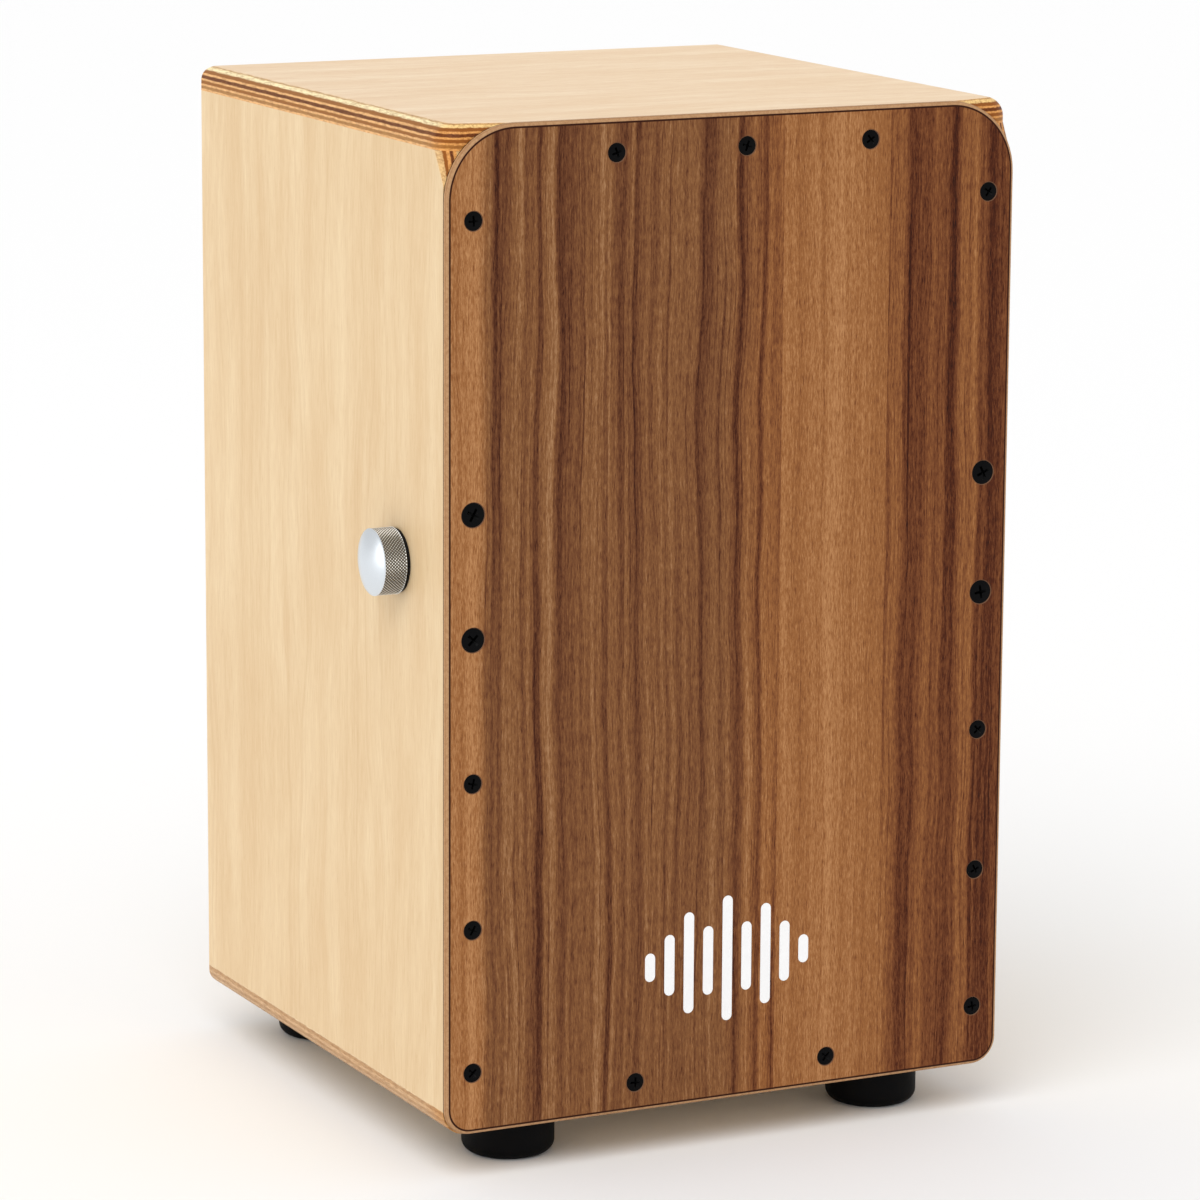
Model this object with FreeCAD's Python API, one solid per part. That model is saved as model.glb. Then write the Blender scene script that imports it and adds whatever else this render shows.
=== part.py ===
import FreeCAD, Part

# Cajon with an adjustable snare: a plywood box drum that the player sits on.
# A thin front plate is screwed to battens inside the box. A knob on the left side
# panel turns a bar inside, which tips two sets of snare strands off the plate.
#
# Millimetres. +Z is up, -Y is the playing side, and +X is to the right of someone who
# faces it: left and right in the names are that person's. The model is built about the
# box's middle plane, X = 0, and moved sideways as it is saved, so that the origin ends
# at the middle of the floor area that box and knob cover together.

import math
import os

from FreeCAD import Rotation, Vector

# ---------------------------------------------------------------- driving sizes

BODY_WIDTH = 300.0
BODY_HEIGHT = 478.0
BODY_DEPTH = 295.0          # front plate's face to the rear edges
BOARD = 12.0                # seat and base plywood
WALL = 9.0                  # side panels and rear panel
PLATE = 3.0                 # front plate
EDGE_ROUND = 9.0            # long top edges of the seat
BASE_ROUND = 11.0           # long bottom edges of the base
REAR_ROUND = 2.5            # all edges round the rear
CORNER_ROUND = 12.0         # seat's front corners, seen from above
CORNER_FADE = 16.0          # height below the seat over which that rounding fades out
FADED = 0.4                 # rounding left where a fade ends
PLATE_TOP_ROUND = 35.0
PLATE_BASE_ROUND = 13.0
PLATE_EDGE_ROUND = 2.0

SOUND_HOLE_R = 57.5
SOUND_HOLE_RISE = 296.0     # above the body's underside
SOUND_HOLE_ROUND = 2.0

FRONT_BATTEN = 18.0
REAR_BATTEN = 15.0

FOOT_HEIGHT = 22.0
FOOT_R = 22.5
FOOT_ROUND = 5.7
FOOT_X = 100.0
FOOT_FRONT = 37.0           # behind the front plate's face
FOOT_REAR = 261.0
FOOT_RECESS_R = 8.5
FOOT_RECESS = 13.0
FOOT_TOP_ROUND = 0.8
FOOT_SCREW_R = 2.4
FOOT_SCREW_LENGTH = 21.0
WASHER_R = 7.5
WASHER = 1.5

COLUMN_X = 136.0            # side columns of front screws
COLUMN_RISES = (30.0, 99.5, 170.0, 434.0)
BLOCK_SCREW_SPREAD = 29.5   # large screws, above and below the knob's axis
TOP_ROW_X = (-63.0, 5.0, 71.0)
TOP_ROW_DROP = 16.0
BASE_ROW_X = (-50.0, 54.0)
BASE_ROW_RISE = 14.5

AXIS_SETBACK = 54.5         # knob's axis behind the front plate's face
AXIS_RISE = 268.0           # and above the body's underside

KNOB_R = 16.0
KNOB_LENGTH = 11.7          # knurled part
KNOB_DOME = 3.5
PLAY = 0.3                  # along the axis, between turning and fixed faces
FLANGE = 1.4                # both bushes
FLANGE_R = 15.2

SHAFT_R = 4.0
BUSH_R = 6.0
RUNNING_FIT = 0.05          # radial clearance of a turning shaft

BLOCK_THICK = 18.0
BLOCK_HEIGHT = 88.0
BLOCK_DEPTH = 75.0

BAR_SIDE = 24.0
BAR_END_GAP = 2.0           # bar's end to the bearing block
SHAFT_IN_BAR = 30.0

SET_X = 62.0                # middle of each snare set
STRANDS = 10
STRAND_R = 1.3
STRAND_PITCH = 7.0
STRAND_TOP_RISE = 135.0     # above the axis
STRAND_CLEAR = 0.4          # behind the front plate
SHEET = 1.5                 # bracket steel
END_PLATE = 1.0

MARGIN = 1.0                # how far cutting shapes reach past a surface
NEAR = 0.1                  # how close an edge's middle lies to where it is looked for

# ---------------------------------------------------------------- derived places

HALF_W = BODY_WIDTH / 2
FRONT_Y = -BODY_DEPTH / 2
SHELL_Y = FRONT_Y + PLATE
REAR_Y = BODY_DEPTH / 2
BOTTOM_Z = FOOT_HEIGHT
TOP_Z = BOTTOM_Z + BODY_HEIGHT
BASE_TOP_Z = BOTTOM_Z + BOARD
SEAT_UNDER_Z = TOP_Z - BOARD
INNER_X = HALF_W - WALL
PANEL_Y = REAR_Y - WALL

FOOT_HEAD_Z = FOOT_RECESS - WASHER      # under each foot screw's head

AXIS_Y = FRONT_Y + AXIS_SETBACK
AXIS_Z = BOTTOM_Z + AXIS_RISE
BLOCK_FACE_X = INNER_X - BLOCK_THICK
BAR_END_X = BLOCK_FACE_X - BAR_END_GAP
BAR_TOP_Z = AXIS_Z + BAR_SIDE / 2
KNOB_BACK_X = -HALF_W - FLANGE - PLAY
KNOB_PROJECTION = FLANGE + PLAY + KNOB_LENGTH + KNOB_DOME

STRAND_Y = SHELL_Y + STRAND_CLEAR + STRAND_R
END_PLATE_Y = STRAND_Y + STRAND_R       # end plate's front face
BRACKET_Y = END_PLATE_Y + END_PLATE     # bracket's front face

X = Vector(1, 0, 0)
Y = Vector(0, 1, 0)
Z = Vector(0, 0, 1)


# ---------------------------------------------------------------- shape helpers

def block(x, y, z):
    """A box between three (low, high) pairs."""
    return Part.makeBox(x[1] - x[0], y[1] - y[0], z[1] - z[0], Vector(x[0], y[0], z[0]))


def hexagon(radius, centre, u, v):
    """A flat six-sided face in the plane of u and v, radius being half its width across corners."""
    angles = [math.radians(60 * count) for count in range(6)]
    corners = [centre + u * (radius * math.cos(a)) + v * (radius * math.sin(a)) for a in angles]
    return Part.Face(Part.makePolygon(corners + corners[:1]))


def rod(radius, start, end):
    """A round bar between two points."""
    along = end.sub(start)
    return Part.makeCylinder(radius, along.Length, start, along)


def placed(shape, position, direction=Z, spin=0.0):
    """A copy of a shape made at the origin along +Z, spun about its own axis, turned and moved."""
    copy = shape.copy()
    turn = Rotation(Z, direction).multiply(Rotation(Z, spin))
    copy.Placement = FreeCAD.Placement(position, turn)
    return copy


def mirrored(shape):
    """The same shape on the other side of the box."""
    return shape.mirror(Vector(0, 0, 0), X)


def turned(*steps):
    """A solid turned about Z. A step is (radius, z), or a pair of those for an arc's middle and end."""
    def point(step):
        return Vector(step[0], 0, step[1])

    start = last = steps[0]
    edges = []
    for step in steps[1:]:
        if isinstance(step[0], tuple):
            middle, end = step
            edges.append(Part.Arc(point(last), point(middle), point(end)).toShape())
            last = end
        else:
            edges.append(Part.makeLine(point(last), point(step)))
            last = step
    edges.append(Part.makeLine(point(last), point(start)))
    return Part.Face(Part.Wire(edges)).revolve(Vector(0, 0, 0), Z, 360)


def on_circle(centre, radius, degrees):
    """A (radius, z) step on a circle in the turning plane."""
    angle = math.radians(degrees)
    return centre[0] + radius * math.cos(angle), centre[1] + radius * math.sin(angle)


def dome_middle(radius, height, top, sense):
    """Half way along a dome's arc, as a (radius, z) step. Sense is the way from the top to the rim."""
    ball = (radius ** 2 + height ** 2) / (2 * height)
    half = math.asin(radius / ball) / 2
    return ball * math.sin(half), top + sense * ball * (1 - math.cos(half))


def edges_where(shape, test):
    """The edges whose middle point passes a test."""
    return [edge for edge in shape.Edges if test(edge.CenterOfMass)]


def rounding_outline(corner, inward_u, inward_v, radius):
    """What a rounding takes off a square edge, cut across it. The inward directions run into the wood."""
    on_u = corner + inward_u * radius
    on_v = corner + inward_v * radius
    deepest = corner + (inward_u + inward_v) * (radius * (1 - math.sqrt(0.5)))
    outline = [
        Part.makeLine(on_u, on_u - inward_v * MARGIN),
        Part.makeLine(on_u - inward_v * MARGIN, corner - (inward_u + inward_v) * MARGIN),
        Part.makeLine(corner - (inward_u + inward_v) * MARGIN, on_v - inward_u * MARGIN),
        Part.makeLine(on_v - inward_u * MARGIN, on_v),
        Part.Arc(on_v, deepest, on_u).toShape(),
    ]
    return Part.Wire(outline)


def rounding(corner, inward_u, inward_v, radius, along):
    """The cutter that rounds a straight edge which starts at corner."""
    return Part.Face(rounding_outline(corner, inward_u, inward_v, radius)).extrude(along)


def fading(corner, inward_u, inward_v, radius, along, end_radius=FADED):
    """The same, with the rounding fading out along the edge."""
    start = rounding_outline(corner, inward_u, inward_v, radius)
    end = rounding_outline(corner + along, inward_u, inward_v, end_radius)
    return Part.makeLoft([start, end], True, True)


# ---------------------------------------------------------------- cabinet outline

def front_corner_cutters():
    """The hand-sanded front top corner on the left, where the plate's rounded corner leaves it bare."""
    corner = Vector(-HALF_W, SHELL_Y, SEAT_UNDER_Z)
    top_corner = Vector(-HALF_W, SHELL_Y, TOP_Z)
    centre = Vector(-HALF_W + CORNER_ROUND, SHELL_Y + CORNER_ROUND, TOP_Z)
    upright = rounding(corner, X, Y, CORNER_ROUND, Z * (BOARD + MARGIN))
    fade_down = fading(corner, X, Y, CORNER_ROUND, Z * -CORNER_FADE)
    side_point = Vector(-HALF_W, centre.y, TOP_Z)
    outline = Part.Face(rounding_outline(side_point, X, Z * -1, EDGE_ROUND))
    bend = outline.revolve(centre, Z, 90)
    front_point = top_corner + X * CORNER_ROUND
    run = PLATE_TOP_ROUND - CORNER_ROUND
    fade_along = fading(front_point, Y, Z * -1, EDGE_ROUND, X * run)
    return [upright, fade_down, bend, fade_along]


def long_edge_cutters():
    """The rounded long edges of seat and base on the left."""
    start = Vector(-HALF_W, SHELL_Y + CORNER_ROUND, TOP_Z)
    length = BODY_DEPTH - PLATE - CORNER_ROUND + MARGIN
    seat = rounding(start, X, Z * -1, EDGE_ROUND, Y * length)
    low = Vector(-HALF_W, SHELL_Y - MARGIN, BOTTOM_Z)
    base = rounding(low, X, Z, BASE_ROUND, Y * (BODY_DEPTH - PLATE + 2 * MARGIN))
    return [seat, base]


def rear_edge_cutters():
    """The eased edges round the rear: one upright on the left, the seat's and the base's."""
    past = BODY_WIDTH + 2 * MARGIN
    upright = rounding(Vector(-HALF_W, REAR_Y, BOTTOM_Z - MARGIN), X, Y * -1, REAR_ROUND,
                       Z * (BODY_HEIGHT + 2 * MARGIN))
    top = rounding(Vector(-HALF_W - MARGIN, REAR_Y, TOP_Z), Y * -1, Z * -1, REAR_ROUND, X * past)
    low = rounding(Vector(-HALF_W - MARGIN, REAR_Y, BOTTOM_Z), Y * -1, Z, REAR_ROUND, X * past)
    return [upright, mirrored(upright), top, low]


FRONT_CORNERS = front_corner_cutters()
FRONT_CORNERS += [mirrored(cutter) for cutter in FRONT_CORNERS]
LONG_EDGES = long_edge_cutters()
LONG_EDGES += [mirrored(cutter) for cutter in LONG_EDGES]
REAR_EDGES = rear_edge_cutters()


def eased(shape, *cutter_groups):
    """A board with the cabinet's roundings taken off it."""
    return shape.cut([cutter for group in cutter_groups for cutter in group])


# ---------------------------------------------------------------- fasteners

SCREW_TIP = 4.0
SCREW_SINK = 0.4            # head's rim below the plate's face
SCREW_DOME = 0.5
SLOT_SHARE = 0.22           # width of a cross recess's slots, in head radii
RECESS_SHARE = 0.6          # its reach
RECESS_DEPTH_SHARE = 0.5
RECESS_TAPER = 1.3          # depth at which the slots would meet in a point, in recess depths
RECESS_TURN = 45.0          # keeps the slots off the seam of the turned head


def cross_recess(head_r, crown):
    """A cross of two slots, narrowing towards its bottom. Crown is the z of the head's top."""
    slot = head_r * SLOT_SHARE
    reach = head_r * RECESS_SHARE
    depth = head_r * RECESS_DEPTH_SHARE
    slope = reach / (depth * RECESS_TAPER)
    start = crown - MARGIN
    span = (start, crown + depth)
    cross = block((-reach, reach), (-slot / 2, slot / 2), span)
    cross = cross.fuse(block((-slot / 2, slot / 2), (-reach, reach), span))
    length = MARGIN + depth * RECESS_TAPER
    recess = cross.common(Part.makeCone(slope * length, 0, length, Vector(0, 0, start)))
    recess.rotate(Vector(0, 0, 0), Z, RECESS_TURN)
    return recess


def countersunk_body(head_r, shank_r, length):
    """A raised countersunk wood screw without its recess, the plate's face at z = 0, driven towards +Z."""
    top = SCREW_SINK - SCREW_DOME
    shoulder = SCREW_SINK + head_r - shank_r
    middle = dome_middle(head_r, SCREW_DOME, top, 1)
    return turned((0, top), (middle, (head_r, SCREW_SINK)), (shank_r, shoulder),
                  (shank_r, length - SCREW_TIP), (0, length))


def countersunk_screw(head_r, shank_r, length):
    recess = cross_recess(head_r, SCREW_SINK - SCREW_DOME)
    return countersunk_body(head_r, shank_r, length).cut(recess)


def countersunk_hole(head_r, shank_r, length):
    """The hole that such a screw leaves, with its countersink open to the plate's face."""
    mouth = head_r + SCREW_SINK
    sink = Part.makeCone(mouth, shank_r, mouth - shank_r)
    above = Part.makeCylinder(mouth, MARGIN, Vector(0, 0, -MARGIN))
    return countersunk_body(head_r, shank_r, length).fuse([sink, above])


def front_screw_places():
    """Where the front plate's screws sit: the small ones, then the large ones."""
    column = [(side * COLUMN_X, BOTTOM_Z + rise) for rise in COLUMN_RISES for side in (-1, 1)]
    top = [(x, TOP_Z - TOP_ROW_DROP) for x in TOP_ROW_X]
    low = [(x, BOTTOM_Z + BASE_ROW_RISE) for x in BASE_ROW_X]
    spread = (-BLOCK_SCREW_SPREAD, BLOCK_SCREW_SPREAD)
    large = [(side * COLUMN_X, AXIS_Z + rise) for rise in spread for side in (-1, 1)]
    small = [Vector(x, FRONT_Y, z) for x, z in column + top + low]
    return small, [Vector(x, FRONT_Y, z) for x, z in large]


SPIN_STEP = 37.0            # the recesses stop at different angles
SMALL_SCREW = {"head_r": 4.5, "shank_r": 1.75, "length": 20.0}
LARGE_SCREW = {"head_r": 5.8, "shank_r": 2.5, "length": 38.0}
SMALL_PLACES, LARGE_PLACES = front_screw_places()
SCREW_HOLES = [placed(countersunk_hole(**SMALL_SCREW), place, Y) for place in SMALL_PLACES]
SCREW_HOLES += [placed(countersunk_hole(**LARGE_SCREW), place, Y) for place in LARGE_PLACES]


def driven(screw, places, direction):
    """Copies of one screw at each place, each turned a little further than the last."""
    return Part.makeCompound([placed(screw, place, direction, SPIN_STEP * count)
                              for count, place in enumerate(places)])


def pan_screw(head_r, head_height, shank_r, length, tip):
    """A low round-headed screw, its head's underside at z = 0, driven towards +Z."""
    middle = dome_middle(head_r, head_height, -head_height, 1)
    body = turned((0, -head_height), (middle, (head_r, 0)), (shank_r, 0), (shank_r, length - tip),
                  (0, length))
    return body.cut(cross_recess(head_r, -head_height))


# ---------------------------------------------------------------- cabinet boards

def seat():
    board = block((-HALF_W, HALF_W), (SHELL_Y, REAR_Y), (SEAT_UNDER_Z, TOP_Z))
    return eased(board, FRONT_CORNERS, LONG_EDGES, REAR_EDGES)


def base():
    board = block((-HALF_W, HALF_W), (SHELL_Y, REAR_Y), (BOTTOM_Z, BASE_TOP_Z))
    screw = Z * FOOT_SCREW_LENGTH
    heads = [place + Z * FOOT_HEAD_Z for place in foot_places().values()]
    screw_holes = [rod(FOOT_SCREW_R, head, head + screw) for head in heads]
    return eased(board, LONG_EDGES, REAR_EDGES).cut(screw_holes)


def side(hand):
    """A side panel. Hand is -1 for the left one, which the knob's bush passes through."""
    span = sorted((hand * INNER_X, hand * HALF_W))
    panel = block(span, (SHELL_Y, REAR_Y), (BASE_TOP_Z, SEAT_UNDER_Z))
    panel = eased(panel, FRONT_CORNERS, REAR_EDGES)
    if hand < 0:
        panel = panel.cut(rod(BUSH_R, axis_point(-HALF_W - MARGIN), axis_point(-INNER_X + MARGIN)))
    return panel


def rear_panel():
    """The panel between the four boards, flush with their rear edges, with an eased sound hole."""
    panel = block((-INNER_X, INNER_X), (PANEL_Y, REAR_Y), (BASE_TOP_Z, SEAT_UNDER_Z))
    centre = Vector(0, PANEL_Y, BOTTOM_Z + SOUND_HOLE_RISE)
    panel = panel.cut(rod(SOUND_HOLE_R, centre - Y * MARGIN, centre + Y * (WALL + MARGIN)))
    rim = edges_where(panel, lambda middle: abs(middle.y - REAR_Y) < NEAR
                      and abs(middle.x) < SOUND_HOLE_R
                      and abs(middle.z - centre.z) < SOUND_HOLE_R)
    return panel.makeFillet(SOUND_HOLE_ROUND, rim)


def plate_outline():
    """The front plate's outline: large top corners, small bottom ones."""
    top, low = PLATE_TOP_ROUND, PLATE_BASE_ROUND
    corners = [  # centre of the arc, its radius and its starting angle
        (HALF_W - top, TOP_Z - top, top, 0),
        (-HALF_W + top, TOP_Z - top, top, 90),
        (-HALF_W + low, BOTTOM_Z + low, low, 180),
        (HALF_W - low, BOTTOM_Z + low, low, 270),
    ]
    arcs = []
    for x, z, radius, start in corners:
        ends = [on_circle((x, z), radius, start + step) for step in (0, 45, 90)]
        arcs.append([Vector(u, FRONT_Y, v) for u, v in ends])
    edges = []
    for count, arc in enumerate(arcs):
        edges.append(Part.Arc(*arc).toShape())
        edges.append(Part.makeLine(arc[2], arcs[(count + 1) % len(arcs)][0]))
    return Part.Wire(edges)


def front_plate():
    plate = Part.Face(plate_outline()).extrude(Y * PLATE)
    face_edges = edges_where(plate, lambda middle: abs(middle.y - FRONT_Y) < NEAR)
    return plate.makeFillet(PLATE_EDGE_ROUND, face_edges).cut(SCREW_HOLES)


def front_batten(x, z):
    """A strip glued inside the box's front edge, drilled for the plate's screws."""
    strip = block(x, (SHELL_Y, SHELL_Y + FRONT_BATTEN), z)
    return eased(strip, FRONT_CORNERS).cut(SCREW_HOLES)


def front_battens():
    inner = INNER_X - FRONT_BATTEN
    half_block = BLOCK_HEIGHT / 2
    across = (-inner, inner)
    pieces = {
        "front_batten_top": front_batten(across, (SEAT_UNDER_Z - FRONT_BATTEN, SEAT_UNDER_Z)),
        "front_batten_bottom": front_batten(across, (BASE_TOP_Z, BASE_TOP_Z + FRONT_BATTEN)),
    }
    for name, hand in (("left", -1), ("right", 1)):
        span = sorted((hand * inner, hand * INNER_X))
        pieces[f"front_batten_{name}_upper"] = front_batten(span, (AXIS_Z + half_block, SEAT_UNDER_Z))
        pieces[f"front_batten_{name}_lower"] = front_batten(span, (BASE_TOP_Z, AXIS_Z - half_block))
    return pieces


def rear_battens():
    depth = (PANEL_Y - REAR_BATTEN, PANEL_Y)
    inner = INNER_X - REAR_BATTEN
    sides = (BASE_TOP_Z, SEAT_UNDER_Z)
    return {
        "rear_batten_left": block((-INNER_X, -inner), depth, sides),
        "rear_batten_right": block((inner, INNER_X), depth, sides),
        "rear_batten_top": block((-inner, inner), depth, (SEAT_UNDER_Z - REAR_BATTEN, SEAT_UNDER_Z)),
        "rear_batten_bottom": block((-inner, inner), depth, (BASE_TOP_Z, BASE_TOP_Z + REAR_BATTEN)),
    }


# ---------------------------------------------------------------- feet


def foot_places():
    """The middle of each foot, on the floor."""
    rows = {"front": FRONT_Y + FOOT_FRONT, "rear": FRONT_Y + FOOT_REAR}
    sides = {"left": -FOOT_X, "right": FOOT_X}
    return {f"{row}_{side_name}": Vector(x, y, 0)
            for row, y in rows.items() for side_name, x in sides.items()}


def foot():
    """A moulded rubber foot with a rounded lower edge and a deep recess for its screw."""
    low = (FOOT_R - FOOT_ROUND, FOOT_ROUND)
    high = (FOOT_R - FOOT_TOP_ROUND, FOOT_HEIGHT - FOOT_TOP_ROUND)
    return turned(
        (FOOT_RECESS_R, 0), (FOOT_R - FOOT_ROUND, 0),
        (on_circle(low, FOOT_ROUND, -45), (FOOT_R, FOOT_ROUND)),
        (FOOT_R, FOOT_HEIGHT - FOOT_TOP_ROUND),
        (on_circle(high, FOOT_TOP_ROUND, 45), (FOOT_R - FOOT_TOP_ROUND, FOOT_HEIGHT)),
        (FOOT_SCREW_R, FOOT_HEIGHT), (FOOT_SCREW_R, FOOT_RECESS), (FOOT_RECESS_R, FOOT_RECESS),
    )


def foot_washers():
    ring = Part.makeCylinder(WASHER_R, WASHER).cut(Part.makeCylinder(FOOT_SCREW_R, WASHER))
    heads = [place + Z * FOOT_HEAD_Z for place in foot_places().values()]
    return Part.makeCompound([placed(ring, head) for head in heads])


def foot_screws():
    screw = pan_screw(head_r=4.6, head_height=3.2, shank_r=FOOT_SCREW_R,
                      length=FOOT_SCREW_LENGTH, tip=3.0)
    return driven(screw, [place + Z * FOOT_HEAD_Z for place in foot_places().values()], Z)


# ---------------------------------------------------------------- bearings

def axis_point(x):
    """A point on the knob's axis."""
    return Vector(x, AXIS_Y, AXIS_Z)


def bearing_block(hand):
    """A wooden block glued to the side panel and held by two of the plate's large screws."""
    chamfer = 3.0
    span = sorted((hand * BLOCK_FACE_X, hand * INNER_X))
    rear = SHELL_Y + BLOCK_DEPTH
    heights = (AXIS_Z - BLOCK_HEIGHT / 2, AXIS_Z + BLOCK_HEIGHT / 2)
    wood = block(span, (SHELL_Y, rear), heights)
    rear_edge = edges_where(wood, lambda middle: abs(middle.x - hand * BLOCK_FACE_X) < NEAR
                            and abs(middle.y - rear) < NEAR)
    wood = wood.makeChamfer(chamfer, rear_edge)
    bush_hole = rod(BUSH_R, axis_point(span[0] - MARGIN), axis_point(span[1] + MARGIN))
    return wood.cut([bush_hole] + SCREW_HOLES)


def bush(flange_r, length):
    """A flanged bush: the flange lies below the origin, the sleeve above it."""
    bore = SHAFT_R + RUNNING_FIT
    ease = 0.4
    return turned((bore, -FLANGE), (flange_r - ease, -FLANGE), (flange_r, ease - FLANGE),
                  (flange_r, 0), (BUSH_R, 0), (BUSH_R, length), (bore, length))


def knob_bush():
    """Black nylon bush through the left panel and block, its flange outside, behind the knob."""
    return placed(bush(FLANGE_R, WALL + BLOCK_THICK), axis_point(-HALF_W), X)


def pivot_bush():
    """The bush in the right-hand block, its flange facing the bar."""
    flange_r = 9.0
    return placed(bush(flange_r, BLOCK_THICK), axis_point(BLOCK_FACE_X), X)


# ---------------------------------------------------------------- snare rotor

KNOB_BORE = 10.0
SET_SCREW_R = 2.0
SET_SCREW_LENGTH = 8.0
CROSS_PIN_R = 2.0
CROSS_PIN_INSET = 15.0
END_PLATE_HALF_WIDTH = 45.0
END_PLATE_Z = (BAR_TOP_Z + 4.0, BAR_TOP_Z + 20.0)
BRACKET_TOP_Z = BAR_TOP_Z + 21.0
END_SCREW_X = 40.0
END_SCREW_Z = BAR_TOP_Z + 12.0
END_SCREW_R = 1.5
BRACKET_SCREW_X = 22.0
BRACKET_SCREW_R = 1.9
BRACKET_SCREW_LENGTH = 16.0
BRACKET_INSET = 2.0         # bracket's rear edge from the bar's
STRAND_FOOT_INSET = 2.0     # strands' lower ends from the end plate's lower edge


def knob():
    """A turned aluminium knob: eased back edge, straight grip and a low domed face with an eased rim."""
    ease = 0.4
    top = KNOB_LENGTH + KNOB_DOME
    rim = (KNOB_R - ease, KNOB_LENGTH)
    middle = dome_middle(rim[0], KNOB_DOME, top, -1)
    body = turned((SHAFT_R, 0), (KNOB_R - ease, 0), (KNOB_R, ease), (KNOB_R, KNOB_LENGTH - ease),
                  rim, (middle, (0, top)), (0, KNOB_BORE), (SHAFT_R, KNOB_BORE))
    whole = placed(body, axis_point(KNOB_BACK_X), X * -1)
    start = set_screw_start()
    return whole.cut(rod(SET_SCREW_R, start, start + Y * KNOB_R))


def set_screw_start():
    """Where the set screw meets the spindle."""
    return Vector(KNOB_BACK_X - KNOB_BORE / 2, AXIS_Y + SHAFT_R, AXIS_Z)


def knob_set_screw():
    """A headless screw with a hexagon socket, driven in from the rear side of the knob."""
    socket_r = 1.15
    socket_depth = 2.5
    end = set_screw_start() + Y * SET_SCREW_LENGTH
    socket = hexagon(socket_r, end, X, Z).extrude(Y * -socket_depth)
    return rod(SET_SCREW_R, set_screw_start(), end).cut(socket)


def spindle():
    """The steel shaft from the knob to the bar."""
    in_bar = axis_point(-BAR_END_X + SHAFT_IN_BAR)
    return rod(SHAFT_R, axis_point(KNOB_BACK_X - KNOB_BORE), in_bar).cut(cross_pin_solid(-1))


def pivot_pin():
    """The short shaft on which the bar's other end turns."""
    end_gap = 2.0
    in_block = axis_point(INNER_X - end_gap)
    return rod(SHAFT_R, axis_point(BAR_END_X - SHAFT_IN_BAR), in_block).cut(cross_pin_solid(1))


def cross_pin_solid(hand):
    """The pin through the bar that locks one shaft in it."""
    middle = axis_point(hand * (BAR_END_X - CROSS_PIN_INSET))
    return rod(CROSS_PIN_R, middle - Y * (BAR_SIDE / 2), middle + Y * (BAR_SIDE / 2))


def friction_washer():
    """A washer that takes up the play between the bar and the left block."""
    washer_r = 10.0
    start = axis_point(-BAR_END_X)
    end = axis_point(-BLOCK_FACE_X + PLAY)
    return rod(washer_r, start, end).cut(rod(SHAFT_R, start, end))


def snare_bar():
    """The hardwood bar between the bearing blocks."""
    chamfer = 2.0
    half = BAR_SIDE / 2
    depth = (AXIS_Y - half, AXIS_Y + half)
    bar = block((-BAR_END_X, BAR_END_X), depth, (AXIS_Z - half, AXIS_Z + half))
    long_edges = edges_where(bar, lambda middle: abs(middle.x) < NEAR
                             and abs(middle.y - AXIS_Y) > half - NEAR
                             and abs(middle.z - AXIS_Z) > half - NEAR)
    bar = bar.makeChamfer(chamfer, long_edges)
    holes = [cross_pin_solid(hand) for hand in (-1, 1)]
    for hand in (-1, 1):
        deepest = axis_point(hand * (BAR_END_X - SHAFT_IN_BAR))
        holes.append(rod(SHAFT_R, axis_point(hand * BAR_END_X), deepest))
    for place in bracket_screw_places():
        holes.append(rod(BRACKET_SCREW_R, place, place - Z * BRACKET_SCREW_LENGTH))
    return bar.cut(holes)


def bracket_screw_places():
    """Under each bracket screw's head."""
    return [Vector(middle + offset, AXIS_Y, BAR_TOP_Z + SHEET)
            for middle in (-SET_X, SET_X) for offset in (-BRACKET_SCREW_X, BRACKET_SCREW_X)]


def end_screw_places():
    """On the end plates' front faces."""
    return [Vector(middle + offset, END_PLATE_Y, END_SCREW_Z)
            for middle in (-SET_X, SET_X) for offset in (-END_SCREW_X, END_SCREW_X)]


def snare_bracket(middle):
    """A bent steel angle: one leg on the bar, the other upright close behind the front plate."""
    bend = 3.0
    x = (middle - END_PLATE_HALF_WIDTH, middle + END_PLATE_HALF_WIDTH)
    rear = AXIS_Y + BAR_SIDE / 2 - BRACKET_INSET
    leg = block(x, (BRACKET_Y, rear), (BAR_TOP_Z, BAR_TOP_Z + SHEET))
    upright = block(x, (BRACKET_Y, BRACKET_Y + SHEET), (BAR_TOP_Z, BRACKET_TOP_Z))
    angle = leg.fuse(upright).removeSplitter()
    outer = edges_where(angle, lambda point: abs(point.y - BRACKET_Y) < NEAR
                        and abs(point.z - BAR_TOP_Z) < NEAR)
    inner = edges_where(angle, lambda point: abs(point.y - BRACKET_Y - SHEET) < NEAR
                        and abs(point.z - BAR_TOP_Z - SHEET) < NEAR)
    angle = angle.makeFillet(bend, outer).makeFillet(bend - SHEET, inner)
    through = END_PLATE + SHEET + MARGIN
    holes = [rod(BRACKET_SCREW_R, place + Z * MARGIN, place - Z * (SHEET + MARGIN))
             for place in bracket_screw_places()]
    holes += [rod(END_SCREW_R, place, place + Y * through) for place in end_screw_places()]
    return angle.cut(holes)


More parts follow.
